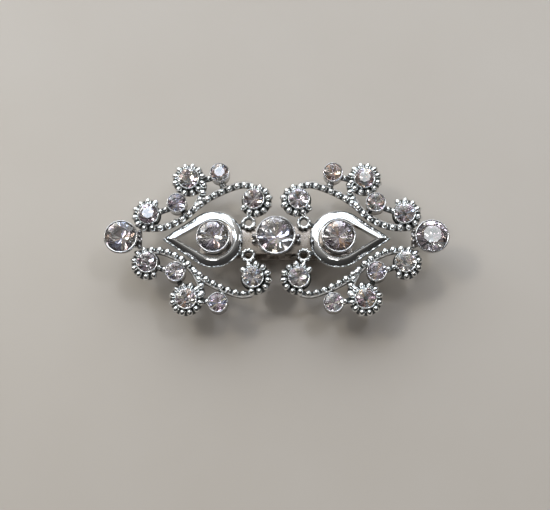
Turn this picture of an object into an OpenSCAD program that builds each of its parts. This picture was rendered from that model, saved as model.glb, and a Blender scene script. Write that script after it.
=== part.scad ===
// Rhinestone hair clip: an openwork ornament of beaded vines, teardrop bands and stone
// settings, soldered to the fixed arm of a short sprung clip.
// The origin is on the surface that the clip lies on, under the middle of the ornament.
// +X runs along the ornament and +Z points out of the stones.

/* [Stones] */
// Diameter of the middle stone
centre_d = 7.3; // [6.9:0.1:7.5]
// Diameter of the stones in the teardrops
tear_d = 6.2; // [5.8:0.1:6.4]
// Diameter of the stones at the two ends
end_d = 6.2; // [5.8:0.1:6.5]
// Diameter of the stones in the beaded rings
ring_d = 4.0; // [3.7:0.1:4.1]
// Diameter of the stones in the small plain cups
small_d = 3.6; // [3.3:0.1:3.7]

/* [Teardrops] */
// Distance of each teardrop's stone from the middle
tear_x = 12.6; // [12.4:0.1:12.8]
// Outer radius of a teardrop's round end
tear_r = 5.9; // [5.8:0.1:6.0]
// Width of the band at the round end
tear_band = 2.0; // [1.9:0.1:2.1]
// Distance from the stone to the outer point
tear_tip = 10.6; // [10.4:0.1:10.8]
// Height of the band's outer edge
tear_edge_h = 0.9; // [0.7:0.1:1.1]
// Height of the band's inner rim
tear_rim_h = 2.3; // [2.0:0.1:2.6]

/* [Vines] */
// Distance of each end stone from the middle
end_x = 31.2; // [30.9:0.1:31.4]
// Diameter of a bead
bead_d = 1.3; // [1.2:0.05:1.4]
// Spacing of the beads along a vine
bead_pitch = 1.6; // [1.5:0.05:1.8]
// Radius of the circle of beads around a ring setting
ring_r = 2.9; // [2.8:0.05:3.0]
// Thickness of a vine casting
vine_t = 1.2; // [1.0:0.1:1.4]

/* [Clip] */
// Overall thickness of the closed clip
clip_h = 7.0; // [6.8:0.1:7.4]
// Width of the clip
clip_w = 5.6; // [5.4:0.1:5.8]
// Distance from the middle to each end of the arm
arm_reach = 15.4; // [15.0:0.1:15.8]
// Thickness of the sheet steel
sheet_t = 0.8; // [0.6:0.1:0.9]
// Distance of the hinge from the middle
hinge_x = 4.0; // [3.6:0.1:4.4]
// Diameter of the hinge pin
pin_d = 1.4; // [1.2:0.1:1.6]

/* [Hidden] */
$fn = 48;
SIDES = ["left", "right"];
CORNERS = ["upper_left", "upper_right", "lower_left", "lower_right"];
PER_SIDE = ["tear_frame", "tear_cup", "tear_stone", "end_cup", "end_stone"];
PER_CORNER = ["spray", "scroll_stone", "crown_stone", "hook_stone",
              "leaf_cup", "leaf_stone", "bud_cup", "bud_stone"];

back = clip_h;               // the ornament's flat back lies on the arm
joint_gap = 0.02;            // solder line between pieces that touch
tear_half_angle = asin(tear_r / tear_tip);
tear_inner_r = tear_r - tear_band;
tear_inner_tip = tear_inner_r * 2;

// Middles of the settings in the upper right corner, and of the small open loop
scroll_at = [4.6, 8.1];
scroll_ring_at = [4.3, 8.1];
crown_at = [17.9, 12.4];
hook_at = [25.9, 5.0];
leaf_at = [20.1, 7.1];
bud_at = [11.5, 13.4];
loop_at = [5.6, 3.4];
loop_r = 1.45;
loop_hole_r = 0.65;

// Short plain links of a spray: from, to and width
links = [[leaf_at, crown_at, 1.1], [leaf_at, hook_at, 1.1], [leaf_at, [18.0, 4.9], 1.4],
         [bud_at, [10.6, 10.1], 1.6], [bud_at, [15.2, 12.4], 1.2],
         [loop_at + [0.9, -0.3], [8.2, 2.6], 0.9]];

// Heights of the stones' girdles above the back
ring_girdle = 2.2;
small_girdle = 2.9;
tear_girdle = 3.4;
end_girdle = 3.2;
centre_girdle = 4.3;

ring_wall = 0.2;
small_wall = 0.22;
cup_wall = 0.3;
centre_foot_r = 2.7;
tear_foot_r = 2.9;
end_foot_r = 2.7;
end_tab = [3, 3.2, 1];       // bar between the two sprays and the end cup
end_tab_x = end_x - 4;
lug = [2.2, 1];              // width and height of the middle cup's solder lugs
lug_bead_r = 0.5;
stone_gap = 0.03;            // room between a stone and its setting
crown_share = 0.17;          // crown height over diameter
pavilion_share = 0.45;       // pavilion depth over diameter
girdle_t = 0.12;
rim_above_girdle = 0.22;

hinge_z = clip_h / 2 + 0.1;
pin_gap = 0.05;              // running clearance of the pin in the jaw's ears
ear_t = 0.6;
ear_r = 1.7;
ear_gap = 0.1;
coil_r = 1.6;
wire_d = 0.6;
leg_l = 7;
jaw_flat_x = -3;             // where the jaw starts to rise from its flat
jaw_tip_x = -14.6;
jaw_tip_gap = 0.12;
tooth_h = 0.5;
tooth_w = 0.7;
tooth_pitch = 1.3;
teeth_n = 5;
teeth_x = -5;
head_t = 0.35;
head_rim = 0.4;

// A place's name ends in "right" or "left", and a corner's begins with "upper" or "lower"
function is_right(place) = place[len(place) - 2] == "h";
function is_lower(place) = place[2] == "w";
function around(centre, r, angle) = centre + r * [cos(angle), sin(angle)];

// Points along an arc, ends included
function arc(centre, r, from, to, n) =
    [for (i = [0 : n]) around(centre, r, from + (to - from) * i / n)];

// Smooth curve through a list of points, with n steps between neighbours
function catmull(a, b, c, d, t) =
    0.5 * (2 * b + (c - a) * t + (2 * a - 5 * b + 4 * c - d) * t * t
           + (3 * b - a - 3 * c + d) * t * t * t);
function smooth(p, n) = concat(
    [for (i = [1 : len(p) - 3], k = [0 : n - 1]) catmull(p[i - 1], p[i], p[i + 1], p[i + 2], k / n)],
    [p[len(p) - 2]]);

// Unit normal to the left of a path at its point i
function normal_at(p, i) =
    let (d = p[min(i + 1, len(p) - 1)] - p[max(i - 1, 0)]) [-d[1], d[0]] / norm(d);
function ribbon(p, left, right) = concat(
    [for (i = [0 : len(p) - 1]) p[i] + left * normal_at(p, i)],
    [for (i = [len(p) - 1 : -1 : 0]) p[i] - right * normal_at(p, i)]);

// Length of a path up to each of its points, and the point at a given length
function lengths(p, i = 0, sum = 0) =
    i >= len(p) ? []
    : let (s = i == 0 ? 0 : sum + norm(p[i] - p[i - 1])) concat([s], lengths(p, i + 1, s));
function at_length(p, s, want) =
    let (i = max([for (k = [0 : len(s) - 2]) s[k] <= want ? k : 0]))
    p[i] + (p[i + 1] - p[i]) * (want - s[i]) / (s[i + 1] - s[i]);

// Evenly spaced places for beads along a path
function bead_places(p) =
    let (s = lengths(p), total = s[len(s) - 1], n = round(total / bead_pitch))
    [for (i = [0 : n]) at_length(p, s, min(total * i / n, total - 0.001))];

// The vine of the upper right corner: round the hook stone, along the teardrop, over the
// leaf and round the scroll stone
hook_path = arc(hook_at, ring_r, 118, -106, 28);
vine_knots = [[27.0, 2.2], [25.1, 2.2], [22.9, 2.4], [20.6, 3.3], [18.4, 4.6], [16.3, 6.6],
              [13.6, 8.6], [10.4, 10.2], [7.2, 11.25], [4.9, 11.0], [2.9, 10.6]];
vine_path = smooth(vine_knots, 5);
scroll_path = arc(scroll_ring_at, ring_r, 78, 325, 30);
branch_path = smooth([[17.0, 5.0], [16.2, 6.9], [15.1, 9.2], [14.8, 11.2], [15.0, 13.0]], 4);

module mirrored(place) {
    mirror([is_right(place) ? 0 : 1, 0, 0]) mirror([0, is_lower(place) ? 1 : 0, 0]) children();
}

// Outline in the XZ plane, given a width along Y
module plate_xz(w, y = 0) {
    translate([0, y, 0]) rotate([90, 0, 0]) linear_extrude(w, center = true) children();
}

module cylinder_y(r, length, y = 0) {
    translate([hinge_x, y, hinge_z]) rotate([90, 0, 0]) cylinder(r = r, h = length, center = true);
}

// ---- stones and settings ----

// A pointed-back stone of twelve sides, turned a half step at each level of the crown
module stone(d, girdle_z) {
    r = d / 2;
    sides = 12;
    levels = [[0.05 * r, -pavilion_share * d], [r, -girdle_t / 2], [r, girdle_t / 2],
              [0.8 * r, 0.55 * crown_share * d], [0.55 * r, crown_share * d]];
    turns = [0, 0, 0, 15, 15];
    last = len(levels) - 1;
    points = [for (k = [0 : last], i = [0 : sides - 1])
        [levels[k][0] * cos(i * 30 + turns[k]), levels[k][0] * sin(i * 30 + turns[k]), levels[k][1]]];
    walls = [for (k = [0 : last - 1], i = [0 : sides - 1], half = [0, 1])
        let (j = (i + 1) % sides, a = k * sides + i, b = k * sides + j)
        half == 0 ? [a, a + sides, b] : [b, a + sides, b + sides]];
    caps = [[for (i = [0 : sides - 1]) i], [for (i = [sides - 1 : -1 : 0]) last * sides + i]];
    translate([0, 0, girdle_z]) polyhedron(points, concat(walls, caps));
}

// The room that a stone takes in its setting
module pocket(d, girdle_z) {
    r = d / 2 + stone_gap;
    low = girdle_z - pavilion_share * d - 2 * stone_gap;
    rotate_extrude() polygon([[0, low], [0.2, low], [r, girdle_z - girdle_t],
                              [r, girdle_z + 1], [0, girdle_z + 1]]);
}

module cup(d, wall, girdle, foot_r) {
    r = d / 2 + wall;
    rim = girdle + rim_above_girdle;
    translate([0, 0, back]) difference() {
        rotate_extrude() polygon([[0, 0], [foot_r, 0], [r, girdle * 0.75], [r, rim], [0, rim]]);
        pocket(d, girdle);
    }
}

module small_cup() {
    r = small_d / 2 + small_wall;
    translate([0, 0, back]) difference() {
        cylinder(r = r, h = small_girdle + rim_above_girdle);
        pocket(small_d, small_girdle);
    }
}

module centre_cup() {
    reach = centre_d / 2 + cup_wall + 1;
    color("silver") {
        cup(centre_d, cup_wall, centre_girdle, centre_foot_r);
        for (turn = [0, 180]) rotate(turn) {
            translate([2, -lug[0] / 2, back]) cube([reach - 2, lug[0], lug[1]]);
            for (y = [-1.1, 1.1] * lug_bead_r)
                translate([reach - lug_bead_r, y, back + lug[1]]) sphere(lug_bead_r);
        }
    }
}

module end_cup() {
    color("silver") {
        translate([end_x, 0, 0]) cup(end_d, cup_wall, end_girdle, end_foot_r);
        translate([end_tab_x, -end_tab[1] / 2, back]) cube(end_tab);
    }
}

// ---- teardrops ----

// Outline of a teardrop with its round end at the origin and its point towards +X
function drop(r, tip, steps) =
    let (a = 90 - asin(r / tip))
    concat([[tip, 0]], [for (i = [0 : steps]) around([0, 0], r, a + (360 - 2 * a) * i / steps)]);

module drop_plan(grow) {
    translate([tear_x, 0]) polygon(drop(tear_r + grow, tear_tip + grow / sin(tear_half_angle), 40));
}

// A domed band: level outer edge, convex slope and a narrow raised rim round the opening
module tear_frame() {
    steps = 40;
    shares = [0, 0, 0.35, 0.75, 1, 1];
    heights = [0, tear_edge_h, tear_edge_h + 0.75 * (tear_rim_h - tear_edge_h),
               tear_rim_h, tear_rim_h, 0];
    outer = drop(tear_r, tear_tip, steps);
    inner = drop(tear_inner_r, tear_inner_tip, steps);
    n = len(outer);
    m = len(shares);
    points = [for (i = [0 : n - 1], k = [0 : m - 1])
        let (p = outer[i] + (inner[i] - outer[i]) * shares[k]) [p[0], p[1], heights[k]]];
    walls = [for (i = [0 : n - 1], k = [0 : m - 1], half = [0, 1])
        let (a = i * m + k, b = i * m + (k + 1) % m,
             c = ((i + 1) % n) * m + k, d = ((i + 1) % n) * m + (k + 1) % m)
        half == 0 ? [a, b, d] : [a, d, c]];
    color("gainsboro") translate([tear_x, 0, back]) polyhedron(points, walls);
}

// ---- beaded sprays ----

module beads(path) {
    for (place = bead_places(path)) translate(place) circle(d = bead_d);
}

module ring_plan(centre) {
    translate(centre) circle(r = ring_r);
    for (i = [0 : 11]) translate(around(centre, ring_r, i * 30 + 15)) circle(d = bead_d);
}

module link(a, b, w) {
    polygon(ribbon([a, b], w / 2, w / 2));
}

// Everything flat in a spray: bead lines on their strips, ring plates, links and the small loop
module spray_plan() {
    difference() {
        union() {
            for (path = [hook_path, vine_path, scroll_path, branch_path]) {
                polygon(ribbon(path, 0.45, 0.45));
                beads(path);
            }
            ring_plan(crown_at);
            for (at = [hook_at, scroll_at]) translate(at) circle(r = ring_r - 0.45);
            translate(loop_at) circle(r = loop_r);
            for (l = links) link(l[0], l[1], l[2]);
        }
        drop_plan(joint_gap);
        translate(loop_at) circle(r = loop_hole_r);
        for (at = [leaf_at, bud_at]) translate(at) circle(r = small_d / 2 + small_wall + joint_gap);
        translate([end_tab_x - joint_gap, 0]) square([end_tab[0], end_tab[1] / 2 + joint_gap]);
    }
}

module spray() {
    color("silver") translate([0, 0, back]) difference() {
        union() {
            linear_extrude(vine_t) spray_plan();
            for (at = [scroll_at, crown_at, hook_at])
                translate(at) cylinder(r = ring_d / 2 + ring_wall, h = ring_girdle + rim_above_girdle);
        }
        for (at = [scroll_at, crown_at, hook_at]) translate(at) pocket(ring_d, ring_girdle);
    }
}

// ---- clip ----

module pin_hole(r) {
    cylinder_y(r, clip_w + 2);
}

module ear_plan(root_z) {
    polygon([[hinge_x - 2.5, root_z], [hinge_x + 2.5, root_z],
             [hinge_x + ear_r - 0.2, hinge_z], [hinge_x - ear_r + 0.2, hinge_z]]);
    translate([hinge_x, hinge_z]) circle(r = ear_r);
}

module upper_arm() {
    outer_y = clip_w / 2 - ear_t / 2;
    color("lightsteelblue") difference() {
        union() {
            translate([-arm_reach, -clip_w / 2, clip_h - sheet_t])
                cube([2 * arm_reach, clip_w, sheet_t]);
            for (y = [-outer_y, outer_y]) plate_xz(ear_t, y) ear_plan(clip_h - sheet_t / 2);
        }
        pin_hole(pin_d / 2 + joint_gap);
    }
}

// Side line of the jaw: flat under the lever, then bowed up to the arm
jaw_rise = clip_h - 2 * sheet_t - jaw_tip_gap;
function jaw_z(x) =
    let (u = max(0, min(1, (jaw_flat_x - x) / (jaw_flat_x - jaw_tip_x))))
    sheet_t / 2 + jaw_rise * u * u * (3 - 2 * u);
jaw_line = concat([[arm_reach - 0.4, sheet_t / 2]],
                  [for (i = [0 : 24]) let (x = jaw_flat_x + (jaw_tip_x - jaw_flat_x) * i / 24)
                      [x, jaw_z(x)]]);

// Saw teeth that stand on the jaw's edges, leaning along its curve
function tooth_point(i, h) =
    let (x = teeth_x - i * tooth_pitch / 2, d = [-0.1, jaw_z(x - 0.1) - jaw_z(x)])
    [x, jaw_z(x)] + h * [d[1], -d[0]] / norm(d);
teeth_plan = concat(
    [for (i = [0 : 2 * teeth_n]) tooth_point(i, sheet_t / 2 + (i % 2 == 0 ? 0 : tooth_h))],
    [for (i = [2 * teeth_n : -2 : 0]) tooth_point(i, 0)]);

module lower_jaw() {
    inner_y = clip_w / 2 - ear_t * 1.5 - ear_gap;
    color("lightsteelblue") difference() {
        union() {
            plate_xz(clip_w) polygon(ribbon(jaw_line, sheet_t / 2, sheet_t / 2));
            for (side = [-1, 1]) {
                plate_xz(ear_t, side * inner_y) ear_plan(sheet_t / 2);
                plate_xz(tooth_w, side * (clip_w - tooth_w) / 2) polygon(teeth_plan);
            }
        }
        pin_hole(pin_d / 2 + pin_gap);
    }
}

module hinge_pin() {
    half = clip_w / 2 + joint_gap;
    color("darkgray") {
        cylinder_y(pin_d / 2, 2 * half);
        for (side = [-1, 1]) cylinder_y(pin_d / 2 + head_rim, head_t, side * (half + head_t / 2));
    }
}

// Torsion spring: the coil's envelope, with one leg under the arm and one on the lever
module spring_leg(side, reach_z) {
    start = [hinge_x, side * 1.05, hinge_z + side * coil_r];
    span = [leg_l, 0, reach_z - start[2]];
    translate(start) rotate([0, acos(span[2] / norm(span)), 0]) cylinder(d = wire_d * 0.9, h = norm(span));
}

module spring() {
    width = clip_w - 4 * ear_t - 2 * ear_gap - 0.2;
    color("gray") {
        difference() {
            cylinder_y(coil_r + wire_d / 2, width);
            cylinder_y(coil_r - wire_d / 2, width + 1);
        }
        spring_leg(1, clip_h - sheet_t - wire_d / 2 - 0.1);
        spring_leg(-1, sheet_t + wire_d / 2 + 0.1);
    }
}

// ---- assembly ----

upper_arm();
lower_jaw();
hinge_pin();
spring();
centre_cup();
color("white") stone(centre_d, back + centre_girdle);  // centre_stone

for (side = SIDES) mirrored(side) {
    tear_frame();
    color("silver") translate([tear_x, 0, 0]) cup(tear_d, cup_wall, tear_girdle, tear_foot_r);
    color("white") translate([tear_x, 0, 0]) stone(tear_d, back + tear_girdle);
    end_cup();
    color("white") translate([end_x, 0, 0]) stone(end_d, back + end_girdle);
}

for (corner = CORNERS) mirrored(corner) {
    spray();
    color("white") translate(scroll_at) stone(ring_d, back + ring_girdle);
    color("white") translate(crown_at) stone(ring_d, back + ring_girdle);
    color("white") translate(hook_at) stone(ring_d, back + ring_girdle);
    color("silver") translate(leaf_at) small_cup();
    color("white") translate(leaf_at) stone(small_d, back + small_girdle);
    color("silver") translate(bud_at) small_cup();
    color("white") translate(bud_at) stone(small_d, back + small_girdle);
}
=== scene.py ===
import math
import random

import bmesh
import bpy
from mathutils import Matrix, Vector


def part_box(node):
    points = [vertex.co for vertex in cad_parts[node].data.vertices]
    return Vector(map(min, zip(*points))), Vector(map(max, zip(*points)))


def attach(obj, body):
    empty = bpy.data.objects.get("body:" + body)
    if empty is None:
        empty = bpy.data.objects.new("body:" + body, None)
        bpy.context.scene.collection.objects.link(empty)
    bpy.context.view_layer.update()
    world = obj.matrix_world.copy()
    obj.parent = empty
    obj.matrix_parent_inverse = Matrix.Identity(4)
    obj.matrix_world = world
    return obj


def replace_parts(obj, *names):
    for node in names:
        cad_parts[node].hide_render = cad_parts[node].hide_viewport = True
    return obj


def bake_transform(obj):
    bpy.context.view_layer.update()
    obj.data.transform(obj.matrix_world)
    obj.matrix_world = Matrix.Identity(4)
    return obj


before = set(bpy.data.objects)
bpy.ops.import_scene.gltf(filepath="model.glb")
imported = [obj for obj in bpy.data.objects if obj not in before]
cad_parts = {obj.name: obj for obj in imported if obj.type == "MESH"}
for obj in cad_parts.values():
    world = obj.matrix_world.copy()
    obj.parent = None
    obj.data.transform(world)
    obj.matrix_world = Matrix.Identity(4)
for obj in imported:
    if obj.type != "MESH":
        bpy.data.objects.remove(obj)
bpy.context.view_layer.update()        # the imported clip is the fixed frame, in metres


# ---- Clip arm ----
# A strip of sheet steel, blanked and folded so that two ears hang from it, then nickel plated.
# It lies behind the ornament, and the backs of the settings are soldered to it.

MM = 0.001
SMOOTH_UP_TO = math.radians(38)      # edges that turn by more than this stay crisp


def finished(name, bm, finish, body, slot, *nodes):
    """Closes a piece, gives it its finish, and puts it in place of its CAD nodes."""
    mesh = bpy.data.meshes.new(name)
    bm.to_mesh(mesh)
    bm.free()
    mesh.shade_smooth()
    mesh.set_sharp_from_angle(angle=SMOOTH_UP_TO)
    for material in finish:
        mesh.materials.append(material)
    piece = bpy.data.objects.new(name, mesh)
    bpy.context.scene.collection.objects.link(piece)
    if body:
        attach(piece, body)
    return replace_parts(piece, *nodes)


def add_node(tree, kind, inputs=None, **settings):
    """One shader node. An input is another node's output socket or a plain value."""
    node = tree.nodes.new("ShaderNode" + kind)
    for key, value in settings.items():
        setattr(node, key, value)
    for key, value in (inputs or {}).items():
        if isinstance(value, bpy.types.NodeSocket):
            tree.links.new(value, node.inputs[key])
        else:
            node.inputs[key].default_value = value
    return node


def effect(name, inputs, outputs):
    """An empty node group with its sockets, and its two end nodes."""
    group = bpy.data.node_groups.new(name, "ShaderNodeTree")
    for socket, kind, value in inputs:
        made = group.interface.new_socket(socket, in_out="INPUT", socket_type="NodeSocket" + kind)
        made.default_value = value
    for socket, kind in outputs:
        group.interface.new_socket(socket, in_out="OUTPUT", socket_type="NodeSocket" + kind)
    return group, group.nodes.new("NodeGroupInput"), group.nodes.new("NodeGroupOutput")


# Hairline scratches: long thin streaks on two slants, from use and wiping
hairlines, given, result = effect(
    "hairlines", [("Along", "Float", 60.0), ("Across", "Float", 3500.0), ("Slant", "Float", 0.4)],
    [("Mask", "Float")])
place = add_node(hairlines, "TexCoord").outputs["Object"]
stretch = add_node(hairlines, "CombineXYZ", {
    "X": given.outputs["Along"], "Y": given.outputs["Across"], "Z": given.outputs["Across"]})
streaks = []
for way in (1, -1.7):
    slant = add_node(hairlines, "Math", {0: given.outputs["Slant"], 1: way}, operation="MULTIPLY")
    turn = add_node(hairlines, "VectorRotate", {
        "Vector": place, "Angle": slant.outputs[0]}, rotation_type="Z_AXIS")
    drawn = add_node(hairlines, "VectorMath", {
        0: turn.outputs[0], 1: stretch.outputs[0]}, operation="MULTIPLY")
    grain = add_node(hairlines, "TexNoise", {
        "Vector": drawn.outputs[0], "Scale": 1.0, "Detail": 2.0})
    streaks.append(add_node(hairlines, "MapRange", {
        "Value": grain.outputs["Fac"], "From Min": 0.56, "From Max": 0.72}).outputs["Result"])
both = add_node(hairlines, "Math", {0: streaks[0], 1: streaks[1]}, operation="MAXIMUM")
hairlines.links.new(both.outputs[0], result.inputs["Mask"])


# Plated skin: an uneven polish with slow ripples, a fine grain and duller, warmer patches
plated_skin, given, result = effect(
    "plated skin",
    [("Bright", "Color", (0.8, 0.8, 0.8, 1)), ("Dull", "Color", (0.6, 0.58, 0.55, 1)),
     ("Patch Scale", "Float", 350.0), ("Smoothest", "Float", 0.06), ("Roughest", "Float", 0.2),
     ("Ripple Scale", "Float", 500.0), ("Ripple Height", "Float", 0.000004),
     ("Grain", "Float", 0.15)],
    [("Colour", "Color"), ("Roughness", "Float"), ("Normal", "Vector")])
place = add_node(plated_skin, "TexCoord").outputs["Object"]
patches = add_node(plated_skin, "TexNoise", {
    "Vector": place, "Scale": given.outputs["Patch Scale"], "Detail": 4.0, "Roughness": 0.6})
patch = add_node(plated_skin, "MapRange", {
    "Value": patches.outputs["Fac"], "From Min": 0.42, "From Max": 0.68})
tone = add_node(plated_skin, "Mix", {
    "Factor": patch.outputs["Result"], "A": given.outputs["Bright"],
    "B": given.outputs["Dull"]}, data_type="RGBA")
fine = add_node(plated_skin, "TexNoise", {"Vector": place, "Scale": 9000.0, "Detail": 3.0})
speck = add_node(plated_skin, "Math", {
    0: fine.outputs["Fac"], 1: given.outputs["Grain"]}, operation="MULTIPLY")
wear = add_node(plated_skin, "Math", {
    0: patch.outputs["Result"], 1: speck.outputs[0]}, operation="ADD", use_clamp=True)
rough = add_node(plated_skin, "MapRange", {
    "Value": wear.outputs[0], "To Min": given.outputs["Smoothest"],
    "To Max": given.outputs["Roughest"]})
ripples = add_node(plated_skin, "TexNoise", {
    "Vector": place, "Scale": given.outputs["Ripple Scale"], "Detail": 2.0})
height = add_node(plated_skin, "Math", {
    0: speck.outputs[0], 1: 0.1, 2: ripples.outputs["Fac"]}, operation="MULTIPLY_ADD")
relief = add_node(plated_skin, "Bump", {
    "Strength": 1.0, "Distance": given.outputs["Ripple Height"], "Height": height.outputs[0]})
plated_skin.links.new(tone.outputs["Result"], result.inputs["Colour"])
plated_skin.links.new(rough.outputs["Result"], result.inputs["Roughness"])
plated_skin.links.new(relief.outputs["Normal"], result.inputs["Normal"])


def new_finish(name, metallic=1.0, **plain):
    """A material with its Principled shader, whose constant values are set on the shader."""
    material = bpy.data.materials.new(name)
    material.use_nodes = True
    tree = material.node_tree
    shader = tree.nodes["Principled BSDF"]
    shader.inputs["Metallic"].default_value = metallic
    for key, value in plain.items():
        shader.inputs[key.replace("_", " ")].default_value = value
    return material, tree, shader


def place_group(tree, group, inputs=None):
    """Puts a node group into a material, with plain values on its inputs."""
    node = add_node(tree, "Group", node_tree=group)
    for key, value in (inputs or {}).items():
        node.inputs[key].default_value = value
    return node


def scored(tree, skin, lines, strength, depth):
    """The skin's normal, with hairlines cut into it."""
    return add_node(tree, "Bump", {
        "Strength": strength, "Distance": depth, "Height": lines.outputs["Mask"],
        "Normal": skin.outputs["Normal"]}, invert=True)


# Rolled steel keeps the lines of its rolling along X under the nickel
strip_steel, tree, shader = new_finish("nickel plated strip")
# Its dark, warm tone is partly the nickel's own and partly painted shade, the brown of the shaded
# table that the strip mirrors
skin = place_group(tree, plated_skin, {
    "Bright": (0.52, 0.48, 0.44, 1), "Dull": (0.41, 0.37, 0.33, 1), "Patch Scale": 420.0,
    "Smoothest": 0.19, "Roughest": 0.34, "Ripple Scale": 300.0, "Ripple Height": 0.000006})
lines = place_group(tree, hairlines, {"Along": 80.0, "Across": 9000.0, "Slant": 0.03})
darker = add_node(tree, "Mix", {
    "Factor": lines.outputs["Mask"], "A": skin.outputs["Colour"],
    "B": (0.38, 0.34, 0.3, 1)}, data_type="RGBA")
score = scored(tree, skin, lines, 0.6, 0.000004)
tree.links.new(darker.outputs["Result"], shader.inputs["Base Color"])
tree.links.new(skin.outputs["Roughness"], shader.inputs["Roughness"])
tree.links.new(score.outputs["Normal"], shader.inputs["Normal"])

ARM_EDGE = 0.14 * MM                 # widest that a broken edge may be; small corners keep it less
SLIVER = 5e-6                        # points of the CAD solid nearer than this are one point
FLAT = math.radians(1)


def pressed(node, edge):
    """A pressed piece: its CAD solid with faces merged whole and every sharp edge broken."""
    bm = bmesh.new()
    bm.from_mesh(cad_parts[node].data)
    bmesh.ops.remove_doubles(bm, verts=bm.verts, dist=SLIVER)
    bmesh.ops.dissolve_limit(bm, angle_limit=FLAT, verts=bm.verts, edges=bm.edges)
    sharp = [e for e in bm.edges if e.is_manifold and e.calc_face_angle() > SMOOTH_UP_TO]
    bmesh.ops.bevel(bm, geom=sharp, offset=edge, offset_type="OFFSET", segments=3, profile=0.5,
                    affect="EDGES", material=-1, clamp_overlap=True)
    bmesh.ops.dissolve_degenerate(bm, dist=2e-6, edges=bm.edges)
    return bm


finished("clip_arm", pressed("upper_arm", ARM_EDGE), [strip_steel],
         "ornament", "clip_steel", "upper_arm")


# ---- Jaw ----
# The moving half, of the same plated strip: a bowed jaw with saw teeth along both edges, two
# ears between the arm's ears, and a lever that is pinched to open it.

JAW_EDGE = 0.1 * MM

finished("toothed_jaw", pressed("lower_jaw", JAW_EDGE), [strip_steel],
         "jaw", "clip_steel", "lower_jaw")


# ---- Hinge pin ----
# A plain steel rivet through the four ears, which the jaw swings on. Both its ends are peened
# over into low domed heads, so it stays in.

pin_low, pin_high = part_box("hinge_pin")
hinge = (pin_low + pin_high) / 2
PIN_R = 0.7 * MM
HEAD_T = 0.35 * MM
DOME = 0.2 * MM
HEAD_EDGE = 0.08 * MM


def turned(half_section, round_corners=(), corner=0.0, steps=48):
    """A bmesh turned about Z from a half section of (radius, height), some corners rounded."""
    bm = bmesh.new()
    points = [bm.verts.new((r, 0, z)) for r, z in half_section]
    for pair in zip(points, points[1:]):
        bm.edges.new(pair)
    if round_corners:
        bmesh.ops.bevel(bm, geom=[points[i] for i in round_corners], offset=corner, segments=3,
                        offset_type="OFFSET", profile=0.5, affect="VERTICES", material=-1)
    bmesh.ops.spin(bm, geom=bm.verts[:] + bm.edges[:], cent=(0, 0, 0), axis=(0, 0, 1),
                   angle=math.tau, steps=steps, use_merge=True)
    bmesh.ops.remove_doubles(bm, verts=bm.verts, dist=1e-7)
    bmesh.ops.recalc_face_normals(bm, faces=bm.faces)
    return bm


def bare_steel(name, look):
    """A finish that is the plated skin alone, with nothing laid over it."""
    material, tree, shader = new_finish(name)
    skin = place_group(tree, plated_skin, look)
    tree.links.new(skin.outputs["Colour"], shader.inputs["Base Color"])
    tree.links.new(skin.outputs["Roughness"], shader.inputs["Roughness"])
    tree.links.new(skin.outputs["Normal"], shader.inputs["Normal"])
    return material


head_r = (pin_high.x - pin_low.x) / 2
half_pin = (pin_high.y - pin_low.y) / 2
half_section = [(0, -half_pin), (0.45 * head_r, 0.25 * DOME - half_pin), (head_r, DOME - half_pin),
                (head_r, HEAD_T - half_pin), (PIN_R, HEAD_T - half_pin)]
half_section += [(r, -z) for r, z in reversed(half_section)]
bm = turned(half_section, (1, 2, 3, 6, 7, 8), HEAD_EDGE, 32)
bmesh.ops.transform(bm, verts=bm.verts,
                    matrix=Matrix.Translation(hinge) @ Matrix.Rotation(math.pi / 2, 4, "X"))
pin_steel = bare_steel("peened steel", {
    "Bright": (0.52, 0.51, 0.49, 1), "Dull": (0.3, 0.28, 0.26, 1), "Patch Scale": 1500.0,
    "Grain": 0.4, "Smoothest": 0.22, "Roughest": 0.5, "Ripple Scale": 2200.0,
    "Ripple Height": 0.00003})
finished("hinge_rivet", bm, [pin_steel], "ornament", "pin_steel", "hinge_pin")


# ---- Spring ----
# A torsion spring of hard steel wire, wound on a mandrel. One leg bears on the arm and the other
# on the lever, so the coil winds up a little as the jaw opens.

WIRE_R = 0.28 * MM
COIL_R = 1.6 * MM
LEG_Y = 1.05 * MM
COIL_TURNS = 3.5
STEPS_A_TURN = 28
# Each bend of a leg: how far along it is, and how far out from the coil
LEG_TO = [(2.5 * MM, 0.1 * MM), (6.2 * MM, 0.55 * MM), (7.0 * MM, 0.5 * MM)]

steps = round(COIL_TURNS * STEPS_A_TURN)
bm = bmesh.new()
bmesh.ops.create_circle(bm, segments=12, radius=WIRE_R, matrix=Matrix.Translation(
    hinge + Vector((0, LEG_Y, COIL_R))) @ Matrix.Rotation(math.pi / 2, 4, "Y"))
bmesh.ops.spin(bm, geom=bm.verts[:] + bm.edges[:], cent=hinge, axis=(0, -1, 0), steps=steps,
               angle=COIL_TURNS * math.tau, dvec=(0, -2 * LEG_Y / steps, 0))
for side in (1, -1):
    ring = [e for e in bm.edges if e.is_boundary and e.verts[0].co.y * side > 0]
    before = (0, 0)
    for along, up in LEG_TO:
        grown = bmesh.ops.extrude_edge_only(bm, edges=ring)["geom"]
        ring = [g for g in grown if isinstance(g, bmesh.types.BMEdge)]
        bmesh.ops.translate(bm, verts=[g for g in grown if isinstance(g, bmesh.types.BMVert)],
                            vec=(along - before[0], 0, side * (up - before[1])))
        before = (along, up)
bmesh.ops.holes_fill(bm, edges=[e for e in bm.edges if e.is_boundary], sides=0)
bmesh.ops.recalc_face_normals(bm, faces=bm.faces)
wire_steel = bare_steel("hard spring wire", {
    "Bright": (0.42, 0.42, 0.43, 1), "Dull": (0.22, 0.2, 0.19, 1), "Patch Scale": 700.0,
    "Grain": 0.3, "Smoothest": 0.2, "Roughest": 0.42, "Ripple Scale": 2500.0,
    "Ripple Height": 0.00001})
spring = finished("wound_spring", bm, [wire_steel], None, "spring_steel", "spring")
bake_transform(spring)


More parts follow.
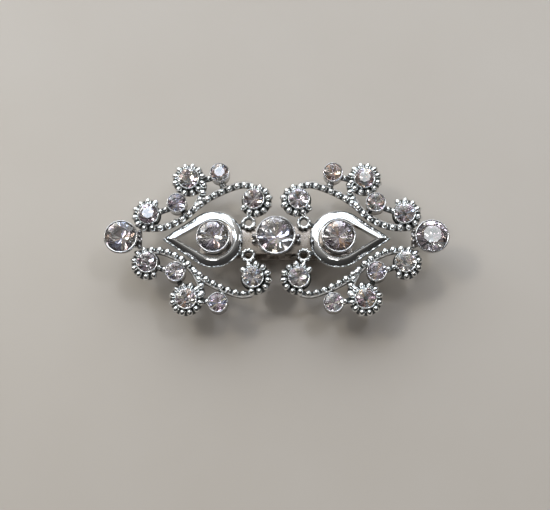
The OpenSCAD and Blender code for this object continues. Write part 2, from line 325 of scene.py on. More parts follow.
# ---- Middle cup ----
# The tallest setting, cast as a tapered cup and rhodium plated. Its rim is rolled over the
# stone's girdle, and a lug with two beads stands out of its foot on each side.

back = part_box("upper_arm")[1].z      # every casting lies flat on the arm
RIM_T = 0.34 * MM
RIM_OVER = 0.05 * MM                 # how far the rim laps over the stone
RIM_UP = 0.24 * MM                   # how far it stands above the stone's girdle
SEAT_R = 0.3 * MM
SEAT_DEPTH = 0.46                    # of the stone's diameter
BACK_LAYER = 0.25 * MM               # whatever lies lower than this was filed

# Flat back: the underside that was filed flat before plating, and never buffed
flat_back, _, result = effect("flat back", [], [("Mask", "Float")])
place = add_node(flat_back, "TexCoord").outputs["Object"]
height_up = add_node(flat_back, "SeparateXYZ", {0: place})
at_back = add_node(flat_back, "Math", {
    0: height_up.outputs["Z"], 1: back + BACK_LAYER}, operation="LESS_THAN")
flat_back.links.new(at_back.outputs[0], result.inputs["Mask"])

# Rhodium on a cast cup, bright on the rolled rim. Down the wall towards the foot its colour is
# painted darker and browner: painted shade, standing in for the shadowed table that the wall
# reflects
cup_metal, tree, shader = new_finish("rhodium plated cup")
skin = place_group(tree, plated_skin, {
    "Bright": (0.74, 0.74, 0.76, 1), "Dull": (0.42, 0.4, 0.38, 1), "Patch Scale": 800.0,
    "Smoothest": 0.07, "Roughest": 0.22, "Ripple Scale": 700.0, "Ripple Height": 0.000012})
lines = place_group(tree, hairlines, {"Along": 120.0, "Across": 6000.0, "Slant": 0.9})
height_up = add_node(tree, "SeparateXYZ", {0: add_node(tree, "TexCoord").outputs["Object"]})
# Painted shade: the lower on the wall, the more the colour is mixed towards dark brown
shade_down = add_node(tree, "MapRange", {
    "Value": height_up.outputs["Z"], "From Min": back + 0.4 * MM, "From Max": back + 2.7 * MM,
    "To Min": 0.85, "To Max": 0.0}, interpolation_type="SMOOTHSTEP")
filed = place_group(tree, flat_back)
shade = add_node(tree, "Mix", {0: filed.outputs["Mask"], 2: shade_down.outputs["Result"], 3: 0.3})
matt = add_node(tree, "Math", {
    0: filed.outputs["Mask"], 1: 0.22, 2: skin.outputs["Roughness"]}, operation="MULTIPLY_ADD")
toned = add_node(tree, "Mix", {
    "Factor": shade.outputs["Result"], "A": skin.outputs["Colour"],
    "B": (0.1, 0.085, 0.075, 1)}, data_type="RGBA")
score = scored(tree, skin, lines, 0.4, 0.000003)
tree.links.new(toned.outputs["Result"], shader.inputs["Base Color"])
tree.links.new(matt.outputs[0], shader.inputs["Roughness"])
tree.links.new(score.outputs["Normal"], shader.inputs["Normal"])


def cup_body(stone_node, foot_r, wall, girdle_up, taper_to=0.75, solder=0.0):
    """A stone's setting, turned in place: soldered foot, wall, rolled rim and stone's seat.

    The wall tapers out from the foot up to a share of the way to the girdle, then stands straight.
    """
    low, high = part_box(stone_node)
    middle = (low + high) / 2
    stone_r = (high.x - low.x) / 2
    r = stone_r + wall
    rim = girdle_up + RIM_UP
    seat_floor = girdle_up - SEAT_DEPTH * 2 * stone_r
    bm = turned([
        (0, 0), (foot_r + solder, 0), (foot_r + 0.02 * MM + 0.2 * solder, 0.16 * MM),
        (r, girdle_up * taper_to), (r, rim - RIM_T), (r + 0.04 * MM, rim - 0.8 * RIM_T),
        (r + 0.02 * MM, rim - 0.45 * RIM_T), (r - 0.5 * wall, rim),
        (stone_r - RIM_OVER, rim - 0.12 * MM), (stone_r - RIM_OVER, rim - 0.16 * MM),
        (stone_r + 0.02 * MM, girdle_up - 0.1 * MM), (SEAT_R, seat_floor), (0, seat_floor)],
        (1, 3, 6, 7), 0.05 * MM, 64)
    bmesh.ops.translate(bm, verts=bm.verts, vec=(middle.x, middle.y, back))
    return bm


def add_block(bm, middle, size, edge):
    """Joins a block with broken edges to a casting."""
    block = bmesh.new()
    bmesh.ops.create_cube(block, size=1,
                          matrix=Matrix.Translation(middle) @ Matrix.Diagonal((*size, 1)))
    bmesh.ops.bevel(block, geom=block.edges[:], offset=edge, offset_type="OFFSET", segments=2,
                    profile=0.5, affect="EDGES", material=-1, clamp_overlap=True)
    join(bm, block)


def join(bm, part):
    """Adds one bmesh to another."""
    mesh = bpy.data.meshes.new("part")
    part.to_mesh(mesh)
    part.free()
    bm.from_mesh(mesh)
    bpy.data.meshes.remove(mesh)


def add_bead(bm, place, along, across, up, turn=0.0):
    """A cast bead of few faces, stretched along, across and up from its middle."""
    bmesh.ops.create_uvsphere(
        bm, u_segments=9, v_segments=6, radius=1, matrix=Matrix.Translation(place)
        @ Matrix.Rotation(turn, 4, "Z") @ Matrix.Diagonal((along, across, up, 1)))


CUP_WALL = 0.3 * MM
SOLDER = 0.28 * MM                   # spread of the solder round a cup's foot
BAR_MIDDLE_UP = 0.42 * MM            # bars stop a hair above the filed back
LUG = Vector((3 * MM, 1.9 * MM, 0.76 * MM))
LUG_REACH = 4.95 * MM
LUG_BEAD = (0.6 * MM, 0.56 * MM, 0.66 * MM)
bm = cup_body("centre_stone", foot_r=2.7 * MM, wall=CUP_WALL, girdle_up=4.3 * MM, solder=SOLDER)
for side in (-1, 1):
    add_block(bm, (side * (LUG_REACH - LUG.x / 2), 0, back + BAR_MIDDLE_UP), LUG, 0.15 * MM)
    for row in (-1, 1):
        spot = (side * (LUG_REACH - 0.5 * MM), row * 0.56 * MM, back + 0.75 * MM)
        add_bead(bm, spot, *LUG_BEAD)
finished("middle_cup", bm, [cup_metal], "ornament", "cup_plate", "centre_cup")


# ---- Teardrop bands ----
# Two openwork teardrops, cast and then buffed to a mirror on a soft wheel, which rounds the band
# over and leaves a thin raised rim round the opening. They point outwards.

TEAR_R = 5.9 * MM
TEAR_TIP = 10.6 * MM
OPENING_R = 3.9 * MM
OPENING_TIP = 7.8 * MM
# Share of the way from the outer edge to the opening, and height above the back
BAND_SECTION = [(0, 0), (0, 0.86), (0.02, 0.97), (0.2, 1.26), (0.38, 1.48), (0.56, 1.66),
                (0.72, 1.78), (0.81, 1.8), (0.84, 1.78), (0.865, 1.94), (0.9, 2.06), (0.95, 2.08),
                (0.985, 2.0), (1, 1.84), (1, 0)]

mirror_polish, tree, shader = new_finish("mirror polish")
skin = place_group(tree, plated_skin, {
    "Bright": (0.9, 0.925, 0.945, 1), "Dull": (0.8, 0.81, 0.81, 1), "Patch Scale": 420.0,
    "Grain": 0.1, "Smoothest": 0.035, "Roughest": 0.11, "Ripple Scale": 300.0,
    "Ripple Height": 0.00002})
lines = place_group(tree, hairlines, {"Along": 90.0, "Across": 7000.0, "Slant": 0.35})
score = scored(tree, skin, lines, 0.3, 0.000003)
duller = add_node(tree, "Math", {
    0: lines.outputs["Mask"], 1: 0.1, 2: skin.outputs["Roughness"]}, operation="MULTIPLY_ADD")
tree.links.new(skin.outputs["Colour"], shader.inputs["Base Color"])
tree.links.new(duller.outputs[0], shader.inputs["Roughness"])
tree.links.new(score.outputs["Normal"], shader.inputs["Normal"])


def on_drop(r, tip, turn):
    """Point of a teardrop's outline: its round end, or the straight line to its tip on +X."""
    open_angle = math.acos(r / tip)
    if abs(turn) >= open_angle:
        return Vector((r * math.cos(turn), r * math.sin(turn)))
    share = abs(turn) / open_angle
    touch = Vector((r * math.cos(open_angle), math.copysign(r * math.sin(open_angle), turn)))
    return Vector((tip, 0)).lerp(touch, share)


for side, sign in (("left", -1), ("right", 1)):
    low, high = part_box("tear_stone_" + side)
    middle_x = (low.x + high.x) / 2
    bm = bmesh.new()
    bmesh.ops.create_circle(bm, segments=96, radius=1)
    turn_of = bm.verts.layers.float.new("turn")       # kept by each ring that grows from the first
    ring = bm.verts[:]
    for v in ring:
        v[turn_of] = math.atan2(v.co.y, v.co.x)
    for share, up in BAND_SECTION:
        for v in ring:
            inner = on_drop(OPENING_R, OPENING_TIP, v[turn_of])
            spot = on_drop(TEAR_R, TEAR_TIP, v[turn_of]).lerp(inner, share)
            v.co = (spot.x, spot.y, up * MM)
        if (share, up) != BAND_SECTION[-1]:
            edges = [e for e in bm.edges if all(v in ring for v in e.verts)]
            grown = bmesh.ops.extrude_edge_only(bm, edges=edges)["geom"]
            ring = [g for g in grown if isinstance(g, bmesh.types.BMVert)]
    bmesh.ops.bridge_loops(bm, edges=[e for e in bm.edges if e.is_boundary])
    bmesh.ops.scale(bm, vec=(sign, 1, 1), verts=bm.verts)
    bmesh.ops.translate(bm, vec=(middle_x, 0, back), verts=bm.verts)
    bmesh.ops.recalc_face_normals(bm, faces=bm.faces)
    finished("teardrop_band_" + side, bm, [mirror_polish],
             "ornament", "bright_plate", "tear_frame_" + side)


# ---- Teardrop and end cups ----
# The same rolled-rim cups, a size smaller: one in the round end of each teardrop, and one at each
# end of the ornament, with the short bar that ties it to the sprays.

TIE_BAR = Vector((3 * MM, 3.2 * MM, 0.76 * MM))
TIE_BAR_AT = 28.7 * MM
TIE_BEADS_AT = 27.7 * MM
TIE_BEAD_SPACING = 1.02 * MM
TIE_BEAD = (0.5 * MM, 0.5 * MM, 0.55 * MM)

for side, sign in (("left", -1), ("right", 1)):
    bm = cup_body("tear_stone_" + side, foot_r=2.9 * MM, wall=CUP_WALL, girdle_up=3.4 * MM,
                  solder=SOLDER)
    finished("teardrop_cup_" + side, bm, [cup_metal],
             "ornament", "cup_plate", "tear_cup_" + side)
    bm = cup_body("end_stone_" + side, foot_r=2.7 * MM, wall=CUP_WALL, girdle_up=3.2 * MM)
    add_block(bm, (sign * TIE_BAR_AT, 0, back + BAR_MIDDLE_UP), TIE_BAR, 0.22 * MM)
    for row in (-1.5, -0.5, 0.5, 1.5):
        spot = (sign * TIE_BEADS_AT, row * TIE_BEAD_SPACING, back + 0.72 * MM)
        add_bead(bm, spot, *TIE_BEAD)
    finished("end_cup_ring_" + side, bm, [cup_metal],
             "ornament", "cup_plate", "end_cup_" + side)


# ---- Sprays ----
# Four beaded vines, one for each corner, lost-wax cast in one mould and its mirror image. Each has
# three ring settings cast in one with it. The gaps between the beads are painted near black:
# painted shade.

# All in mm from the middle of the clip's back. A bead's size is half of it along, across and up
BEAD = (0.72, 0.78, 0.84)
RING_BEAD = (0.66, 0.86, 0.94)
LINK_BEAD = (0.5, 0.6, 0.6)
LOOP_BEAD = (0.34, 0.38, 0.5)
BEAD_SPACING = 1.6
LOOP_BEAD_SPACING = 0.72
BEAD_MIDDLE_UP = 0.72
RING_R = 2.8
RING_STONE_R = 2.0
CROWN_BEADS = 12
# Cross sections of the bars, as (across, up)
STRIP = [(-0.5, 0), (-0.5, 0.55), (-0.36, 0.74), (0.36, 0.74), (0.5, 0.55), (0.5, 0)]
RAIL = [(-0.22, 0), (-0.24, 0.85), (-0.12, 1.04), (0.12, 1.04), (0.24, 0.85), (0.22, 0)]
RAIL_ASIDE = -0.62
FOOT_STEP = 0.015
# Lines of the vine and its branch. The first and last points only steer the ends
VINE = [(27.0, 2.2), (25.1, 2.2), (22.9, 2.4), (20.6, 3.3), (18.4, 4.6), (16.3, 6.6), (13.6, 8.6),
        (10.4, 10.2), (7.2, 11.25), (4.9, 11.0), (2.9, 10.6)]
BRANCH = [(17.0, 5.0), (16.2, 6.9), (15.1, 9.2), (14.8, 11.2), (15.0, 13.0)]
LOOP_AT = Vector((5.6, 3.4))
LOOP_BEADS_R = 1.2
LOOP_WIRE = [(1.03, 0.15), (1.33, 0.3), (1.45, 0.6), (1.33, 0.95), (1.05, 1.08), (0.78, 0.95),
             (0.66, 0.6), (0.78, 0.3), (1.03, 0.15)]


def arc(middle, r, start, end, steps=28):
    """Points round part of a circle, with angles in degrees."""
    turns = [math.radians(start + (end - start) * i / steps) for i in range(steps + 1)]
    return [Vector((middle[0] + r * math.cos(t), middle[1] + r * math.sin(t))) for t in turns]


def bend_through(knots, steps=5):
    """A smooth line through the knots between the first and the last."""
    p = [Vector(k) for k in knots]
    line = []
    for a, b, c, d in zip(p, p[1:], p[2:], p[3:]):
        for t in [i / steps for i in range(steps)]:
            line.append(0.5 * (2 * b + (c - a) * t + (2 * a - 5 * b + 4 * c - d) * t * t
                               + (3 * b - a - 3 * c + d) * t ** 3))
    return line + [p[-2]]


def stations(path):
    """A place for a cross section at each point of a path: side, up, ahead and the point."""
    found = []
    for i, spot in enumerate(path):
        ahead = (path[min(i + 1, len(path) - 1)] - path[max(i - 1, 0)]).normalized()
        found.append(Matrix(((-ahead.y, 0, ahead.x, spot.x), (ahead.x, 0, ahead.y, spot.y),
                             (0, 1, 0, 0), (0, 0, 0, 1))))
    return found


def draw_bar(bm, path, section, foot, aside=0.0, widen=1.0):
    """Draws a cross section along a path, from its foot's height upwards, and closes both ends."""
    part = bmesh.new()
    places = stations(path)
    corners = [Vector((aside + x * widen, max(y, foot), 0)) for x, y in section]
    edges = list(part.faces.new([part.verts.new(places[0] @ c) for c in corners]).edges)
    for before, after in zip(places, places[1:]):
        grown = bmesh.ops.extrude_edge_only(part, edges=edges)["geom"]
        edges = [g for g in grown if isinstance(g, bmesh.types.BMEdge)]
        bmesh.ops.transform(part, matrix=after @ before.inverted(),
                            verts=[g for g in grown if isinstance(g, bmesh.types.BMVert)])
    bmesh.ops.holes_fill(part, edges=[e for e in part.edges if e.is_boundary], sides=0)
    bmesh.ops.recalc_face_normals(part, faces=part.faces)
    join(bm, part)


def string_beads(bm, path, size, spacing=BEAD_SPACING):
    """Beads at an even spacing along a path, each a little different, as in a hand-cut master."""
    steps = [0.0]
    for a, b in zip(path, path[1:]):
        steps.append(steps[-1] + (b - a).length)
    count = round(steps[-1] / spacing)
    for n in range(count + 1):
        want = min(steps[-1] * n / count, steps[-1] - 1e-4)
        i = max(k for k in range(len(path) - 1) if steps[k] <= want)
        ahead = (path[i + 1] - path[i]).normalized()
        spot = path[i] + ahead * (want - steps[i])
        bead_at(bm, spot, math.atan2(ahead.y, ahead.x), size)


def bead_at(bm, spot, turn, size):
    """One bead of a spray, up to a twentieth larger or smaller than its size."""
    grow = 1 + cutter.uniform(-0.05, 0.05)
    up = max(BEAD_MIDDLE_UP, size[2] * grow + 0.03)        # no bead reaches below the flat back
    add_bead(bm, (spot.x, spot.y, up), size[0] * grow, size[1] * grow, size[2] * grow, turn)


def ring_setting(bm, middle):
    """A straight cup with a rolled rim and the seat of its stone, in a spray."""
    cup = turned([(0, 0), (2.45, 0), (2.5, 0.6), (2.24, 0.85), (2.16, 1.2), (2.16, 2.1),
                  (2.2, 2.18), (2.18, 2.28), (2.09, 2.4), (RING_STONE_R - 0.04, 2.3),
                  (RING_STONE_R - 0.04, 2.26), (RING_STONE_R + 0.02, 2.1), (0.25, 0.36),
                  (0, 0.36)], (2, 6, 7, 8), 0.03, 40)
    bmesh.ops.translate(cup, verts=cup.verts, vec=(*middle, 0))
    join(bm, cup)


def middle_of(node):
    """Middle of a CAD node in plan, in mm."""
    low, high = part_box(node)
    return Vector(((low.x + high.x) / 2 / MM, (low.y + high.y) / 2 / MM))


# Bright on the tops of the beads. The gaps and the lower flanks of the beads are painted near
# black, a painted shade
beaded_metal, tree, shader = new_finish("beaded casting with painted shade")
skin = place_group(tree, plated_skin, {
    "Bright": (0.91, 0.93, 0.94, 1), "Dull": (0.72, 0.72, 0.71, 1), "Patch Scale": 900.0,
    "Grain": 0.2, "Smoothest": 0.06, "Roughest": 0.24, "Ripple Scale": 1300.0,
    "Ripple Height": 0.000022})
place = add_node(tree, "TexCoord").outputs["Object"]
height_up = add_node(tree, "SeparateXYZ", {0: place})
blotches = add_node(tree, "TexNoise", {"Vector": place, "Scale": 1800.0, "Detail": 3.0})
uneven = add_node(tree, "MapRange", {
    "Value": blotches.outputs["Fac"], "To Min": -0.2 * MM, "To Max": 0.2 * MM})
level = add_node(tree, "Math", {
    0: height_up.outputs["Z"], 1: uneven.outputs["Result"]}, operation="ADD")
# Painted shade: the colour goes near black low down, below the tops of the beads
in_gap = add_node(tree, "MapRange", {
    "Value": level.outputs[0], "From Min": back + 0.8 * MM, "From Max": back + 1.08 * MM,
    "To Min": 0.93, "To Max": 0.0}, interpolation_type="SMOOTHSTEP")
filed = place_group(tree, flat_back)
black = add_node(tree, "Mix", {0: filed.outputs["Mask"], 2: in_gap.outputs["Result"], 3: 0.3})
toned = add_node(tree, "Mix", {
    "Factor": black.outputs["Result"], "A": skin.outputs["Colour"],
    "B": (0.022, 0.026, 0.024, 1)}, data_type="RGBA")
matt = add_node(tree, "Math", {
    0: black.outputs["Result"], 1: 0.24, 2: skin.outputs["Roughness"]}, operation="MULTIPLY_ADD")
tree.links.new(toned.outputs["Result"], shader.inputs["Base Color"])
tree.links.new(matt.outputs[0], shader.inputs["Roughness"])
tree.links.new(skin.outputs["Normal"], shader.inputs["Normal"])

CORNERS = {"upper_left": (-1, 1), "upper_right": (1, 1),
           "lower_left": (-1, -1), "lower_right": (1, -1)}
scroll, crown, hook, leaf, bud = [middle_of(kind + "_upper_right") for kind in (
    "scroll_stone", "crown_stone", "hook_stone", "leaf_cup", "bud_cup")]
leaf_on_vine, bud_on_vine = Vector((18.0, 4.9)), Vector((10.6, 10.1))
bud_on_branch, loop_end = Vector((15.2, 12.4)), Vector((8.2, 2.6))
# Short bars between the settings: start, end and width of the strip
LINKS = [(leaf, crown, 1.1), (leaf, hook, 1.1), (leaf, leaf_on_vine, 1.3), (bud, bud_on_vine, 1.4),
         (bud, bud_on_branch, 1.1), (LOOP_AT + Vector((0.9, -0.3)), loop_end, 0.9)]
# Beads on those bars: start, end and share of the way
LINK_BEADS = [(leaf, crown, 0.49), (leaf, hook, 0.42), (leaf, hook, 0.6),
              (bud, bud_on_branch, 0.62), (leaf, leaf_on_vine, 0.8), (bud, bud_on_vine, 0.62)]

for corner, (sign_x, sign_y) in CORNERS.items():
    cutter = random.Random(5)        # the same master for all four castings
    bm = bmesh.new()
    vine = bend_through(VINE)
    branch = bend_through(BRANCH, 4)
    hook_line = arc(hook, RING_R, start=118, end=-106)
    scroll_line = arc(scroll - Vector((0.3, 0)), RING_R, start=78, end=325, steps=32)
    crown_line = arc(crown, RING_R, start=0, end=359.9, steps=36)
    # Each bar's foot is a hair higher than the last one's, so no two lie in the same plane
    feet = (FOOT_STEP * n for n in range(1, 20))
    for path in (vine, branch, hook_line, scroll_line, crown_line):
        draw_bar(bm, path, STRIP, next(feet))
    for path in (vine, branch):
        draw_bar(bm, path, RAIL, next(feet), aside=RAIL_ASIDE)
    string_beads(bm, vine, BEAD)
    string_beads(bm, branch, BEAD)
    string_beads(bm, hook_line, RING_BEAD)
    string_beads(bm, scroll_line, RING_BEAD)
    for n in range(CROWN_BEADS):
        turn = math.radians(360 / CROWN_BEADS * n + 180 / CROWN_BEADS)
        spot = crown + RING_R * Vector((math.cos(turn), math.sin(turn)))
        bead_at(bm, spot, turn + math.pi / 2, RING_BEAD)
    for start, end, width in LINKS:
        draw_bar(bm, [start, (start + end) / 2, end], STRIP, next(feet), widen=width)
    for start, end, share in LINK_BEADS:
        ahead = end - start
        bead_at(bm, start.lerp(end, share), math.atan2(ahead.y, ahead.x), LINK_BEAD)
    for middle in (scroll, crown, hook):
        ring_setting(bm, middle)
    loop = turned(LOOP_WIRE, steps=20)
    bmesh.ops.translate(loop, verts=loop.verts, vec=(*LOOP_AT, 0))
    join(bm, loop)
    loop_line = arc(LOOP_AT, LOOP_BEADS_R, start=10, end=330, steps=24)
    string_beads(bm, loop_line, LOOP_BEAD, LOOP_BEAD_SPACING)
    bmesh.ops.transform(bm, verts=bm.verts, matrix=Matrix.Translation((0, 0, back))
                        @ Matrix.Diagonal((sign_x * MM, sign_y * MM, MM, 1)))
    bmesh.ops.recalc_face_normals(bm, faces=bm.faces)
    finished("beaded_spray_" + corner, bm, [beaded_metal],
             "ornament", "beaded_plate", "spray_" + corner)


# ---- Leaf and bud cups ----
# Small straight-walled cups, turned from tube with the rim rolled in, and rhodium plated. There
# are two to each spray, soldered where its short bars meet.

TUBE_WALL = 0.22 * MM

for corner in CORNERS:
    for kind in ("leaf", "bud"):
        bm = cup_body(f"{kind}_stone_{corner}", foot_r=2.0 * MM, wall=TUBE_WALL,
                      girdle_up=2.9 * MM, taper_to=0.3)
        finished(f"{kind}_cup_ring_{corner}", bm, [cup_metal],
                 "ornament", "cup_plate", f"{kind}_cup_{corner}")


# ---- Stones ----
# Machine-cut glass rhinestones with pointed, foiled backs. Each is ground facet by facet from a
# glass blank: a table, eight mains and eight breaks in front, and twelve facets behind. The cup's
# rim holds it in.

# Sizes are shares of the stone's radius, and angles are slopes in degrees
GIRDLE, CROWN_H = 0.03, 0.31
GIRDLE_BELOW_TOP = 0.37
MAIN_ANGLE, BREAK_ANGLE, PAVILION_ANGLE = 35, 44, 42
BLANK_TOP, BLANK_H = 0.4, 1.5


def grind(bm, index, angle, start, behind=False):
    """Grinds one flat, at a turn round the stone and a slope, through a point it starts from."""
    turn, slope = math.radians(index), math.radians(angle)
    out = Vector((math.sin(slope) * math.cos(turn), math.sin(slope) * math.sin(turn),
                  -math.cos(slope) if behind else math.cos(slope)))
    through = (start[0] * math.cos(turn), start[0] * math.sin(turn), start[1])
    bmesh.ops.bisect_plane(bm, geom=bm.verts[:] + bm.edges[:] + bm.faces[:], dist=1e-5,
                           clear_outer=True, plane_co=through, plane_no=out)
    bmesh.ops.holes_fill(bm, edges=[e for e in bm.edges if e.is_boundary], sides=0)


def cut_stone():
    """A stone of radius 1 with its girdle at 0."""
    bm = bmesh.new()
    bmesh.ops.create_cone(bm, cap_ends=True, segments=32, radius1=1, radius2=1, depth=BLANK_H,
                          matrix=Matrix.Translation((0, 0, BLANK_TOP - BLANK_H / 2)))
    for index in range(0, 360, 45):
        grind(bm, index, MAIN_ANGLE, (1, GIRDLE))
        grind(bm, index + 22.5, BREAK_ANGLE, (1, GIRDLE))
    for index in range(0, 360, 30):
        grind(bm, index, PAVILION_ANGLE, (1, -GIRDLE), behind=True)
    grind(bm, 0, 0, (0, GIRDLE + CROWN_H))
    return bm


# Clear glass with handling marks. A thin hard coating has worn off some facets more than others
glass, tree, shader = new_finish("cut glass", metallic=0.0, Transmission_Weight=1.0, IOR=1.56,
                                 Coat_Roughness=0.02, Coat_IOR=1.9)
tint = add_node(tree, "Attribute", attribute_name="facet_tint")
clear = add_node(tree, "Mix", {
    "Factor": 0.1, "A": (1, 1, 1, 1), "B": tint.outputs["Color"]}, data_type="RGBA")
lines = place_group(tree, hairlines, {"Along": 400.0, "Across": 9000.0, "Slant": 1.1})
haze = add_node(tree, "MapRange", {
    "Value": lines.outputs["Mask"], "To Min": 0.0, "To Max": 0.05})
tree.links.new(clear.outputs["Result"], shader.inputs["Base Color"])
tree.links.new(tint.outputs["Alpha"], shader.inputs["Coat Weight"])
tree.links.new(haze.outputs["Result"], shader.inputs["Roughness"])

# Foil behind the glass: silvered, and tinted a little from facet to facet. The tints stand partly
# for the stones' coloured coating and partly for their fire, which is painted glint colour
foil, tree, shader = new_finish("silver foil")
tint = add_node(tree, "Attribute", attribute_name="facet_tint")
place = add_node(tree, "TexCoord").outputs["Object"]
speckle = add_node(tree, "TexNoise", {"Vector": place, "Scale": 2500.0, "Detail": 3.0})
dim = add_node(tree, "MapRange", {"Value": speckle.outputs["Fac"], "To Min": 0.8, "To Max": 1.1})
foiled = add_node(tree, "VectorMath", {
    0: tint.outputs["Color"], 1: dim.outputs["Result"]}, operation="MULTIPLY")
mottle = add_node(tree, "MapRange", {
    "Value": speckle.outputs["Fac"], "To Min": 0.02, "To Max": 0.12})
tree.links.new(foiled.outputs["Vector"], shader.inputs["Base Color"])
tree.links.new(mottle.outputs["Result"], shader.inputs["Roughness"])

# Painted glint colours: tints that stand partly for a coloured coating and partly for the fire of
# the glass
FOIL_TINTS = [(0.96, 0.95, 1.0), (1.0, 0.99, 1.0), (0.86, 0.76, 0.83), (0.76, 0.83, 1.0),
              (1.0, 0.82, 0.71), (0.58, 0.52, 0.56), (0.99, 0.96, 0.86), (0.9, 0.88, 0.98)]

# Stones that sit a little lower on one side, towards the window
LEANED = ("bud_stone_upper_left", "crown_stone_upper_right", "end_stone_right",
          "hook_stone_upper_left")
LEANED_BY = 9
STONE_FIT = 0.995                    # a stone is this much smaller than its place in the cup


def set_stone(node, seed):
    """Cuts a stone, tints it facet by facet, and sets it in its cup a little turned and tilted."""
    low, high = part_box(node)
    r = (high.x - low.x) / 2
    setter = random.Random(seed)
    girdle_z = high.z - r * GIRDLE_BELOW_TOP
    bm = cut_stone()
    layer = bm.loops.layers.float_color.new("facet_tint")
    for face in bm.faces:
        tone = setter.choice(FOIL_TINTS)
        lift = setter.uniform(0.9, 1.2)
        face.material_index = 1 if face.normal.z < -0.1 else 0
        is_table = face.normal.z > 0.99
        coating = 1.0 if node in LEANED and is_table else setter.choice((0.0, 0.0, 0.5))
        for loop in face.loops:
            loop[layer] = (*[min(1, c * lift) for c in tone], coating)
    spin = Matrix.Rotation(setter.uniform(0, math.tau), 4, "Z")
    lean_way = setter.uniform(0, math.tau)
    lean_by = setter.uniform(0.5, 3.5)
    if node in LEANED:
        lean_way, lean_by = math.pi, LEANED_BY
    lean_axis = Vector((math.cos(lean_way), math.sin(lean_way), 0))
    lean = Matrix.Rotation(math.radians(lean_by), 4, lean_axis)
    middle = Vector(((low.x + high.x) / 2, (low.y + high.y) / 2, girdle_z))
    bmesh.ops.transform(bm, verts=bm.verts, matrix=Matrix.Translation(middle)
                        @ lean @ spin @ Matrix.Scale(r * STONE_FIT, 4))
    piece = finished("cut_" + node, bm, [glass, foil], "ornament", "crystal", node)
    piece.data.set_sharp_from_angle(angle=FLAT)


FIRST_SEED = 11
stone_nodes = [n for n in sorted(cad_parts) if "stone" in n]
for seed, node in enumerate(stone_nodes, FIRST_SEED):
    set_stone(node, seed)


# ---- Studio ----
# A plain pale table top, a large soft window behind the upper edge with one brighter pane, three
# small glints, a dim room all round, and the camera leaning a little towards the lower edge.

TABLE_HALF_W = 2.5

floor_mesh = bpy.data.meshes.new("table_top")
bm = bmesh.new()
bmesh.ops.create_grid(bm, x_segments=1, y_segments=1, size=TABLE_HALF_W)
bm.to_mesh(floor_mesh)
bm.free()
table_top = bpy.data.objects.new("table_top", floor_mesh)
bpy.context.scene.collection.objects.link(table_top)
pale, tree, shader = new_finish("pale table top", metallic=0.0, Roughness=0.45)
place = add_node(tree, "TexCoord").outputs["Object"]
cloud = add_node(tree, "TexNoise", {"Vector": place, "Scale": 40.0, "Detail": 4.0})
pale_tone = add_node(tree, "Mix", {
    "Factor": cloud.outputs["Fac"], "A": (0.415, 0.374, 0.328, 1),
    "B": (0.445, 0.409, 0.368, 1)}, data_type="RGBA")
tree.links.new(pale_tone.outputs["Result"], shader.inputs["Base Color"])
floor_mesh.materials.append(pale)


def soft_light(name, azimuth, elevation, distance, size, power, colour):
    """A rectangular light that faces the ornament."""
    light = bpy.data.lights.new(name, "AREA")
    light.shape = "RECTANGLE"
    light.size, light.size_y = size
    light.energy = power
    light.color = colour
    lamp = bpy.data.objects.new(name, light)
    az, el = math.radians(azimuth), math.radians(elevation)
    way = Vector((math.cos(el) * math.cos(az), math.cos(el) * math.sin(az), math.sin(el)))
    facing = way.to_track_quat("Z", "Y").to_matrix().to_4x4()
    lamp.matrix_world = Matrix.Translation(way * distance) @ facing
    bpy.context.scene.collection.objects.link(lamp)


# Turn and height in degrees, distance and size in metres, power in watts, and colour
soft_light("window", 107, 34, 1.3, (2.31, 1.37), 23.6, (0.89, 0.96, 1.0))
soft_light("bright_pane", 112, 52, 0.86, (0.36, 0.27), 0.7, (0.6, 0.72, 1.0))
soft_light("glint_left", 150, 55, 0.5, (0.1, 0.07), 0.45, (1.0, 0.95, 0.85))
soft_light("glint_right", 40, 62, 0.5, (0.1, 0.07), 0.36, (0.85, 0.9, 1.0))
soft_light("glint_near", 250, 70, 0.9, (0.24, 0.075), 0.42, (1.0, 0.95, 0.93))

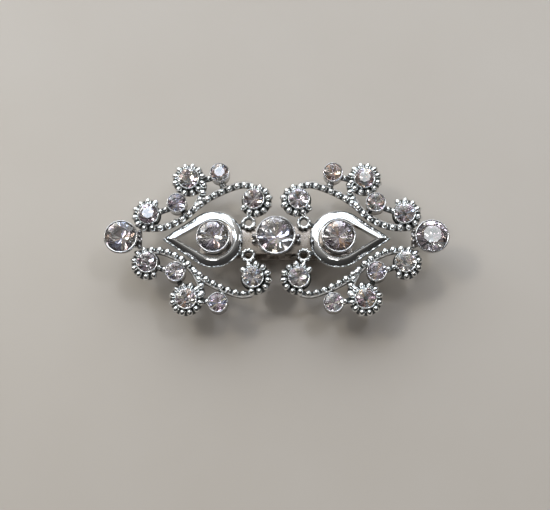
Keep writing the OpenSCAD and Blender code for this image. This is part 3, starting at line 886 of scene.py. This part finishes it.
world = bpy.data.worlds.new("dim room")
bpy.context.scene.world = world
world.use_nodes = True
tree = world.node_tree
room = tree.nodes["Background"]
BRIGHT_WAY = (-0.22, 0.77, 0.6)
towards = add_node(tree, "VectorMath", {
    0: add_node(tree, "TexCoord").outputs["Generated"], 1: BRIGHT_WAY}, operation="DOT_PRODUCT")
share = add_node(tree, "MapRange", {
    "Value": towards.outputs["Value"], "From Min": -1.0, "From Max": 1.0})
ramp = add_node(tree, "ValToRGB", {"Fac": share.outputs["Result"]})
ROOM_TINT = (1, 0.96, 0.91)
# How bright the room is, from facing away from the bright side to facing it
ROOM = [(0.0, 0.16), (0.3, 0.03), (0.55, 0.05), (0.75, 0.2), (0.86, 0.45), (1.0, 0.9)]
while len(ramp.color_ramp.elements) < len(ROOM):
    ramp.color_ramp.elements.new(0.5)
for element, (at, tone) in zip(ramp.color_ramp.elements, ROOM):
    element.position = at
    element.color = (*[tone * c for c in ROOM_TINT], 1)
tree.links.new(ramp.outputs["Color"], room.inputs["Color"])

CAMERA_TILT, CAMERA_SIDE, CAMERA_ROLL = math.radians(13), math.radians(8), math.radians(0.3)
CAMERA_AWAY = 0.26
VIEW_WIDTH = 0.110
AIM = Vector((-0.17, -3.69, 9.5)) * MM
camera_data = bpy.data.cameras.new("camera")
camera_data.lens = camera_data.sensor_width * CAMERA_AWAY / VIEW_WIDTH
camera_data.clip_start = 0.01
camera = bpy.data.objects.new("camera", camera_data)
bpy.context.scene.collection.objects.link(camera)
lean = Vector((math.sin(CAMERA_SIDE) * math.sin(CAMERA_TILT),
               -math.cos(CAMERA_SIDE) * math.sin(CAMERA_TILT), math.cos(CAMERA_TILT)))
across = Vector((0, 1, 0)).cross(lean).normalized()
camera.matrix_world = Matrix.Translation(AIM + lean * CAMERA_AWAY) @ Matrix(
    (across, lean.cross(across), lean)).transposed().to_4x4() @ Matrix.Rotation(CAMERA_ROLL, 4, "Z")
bpy.context.scene.camera = camera
bpy.context.scene.view_settings.view_transform = "Standard"
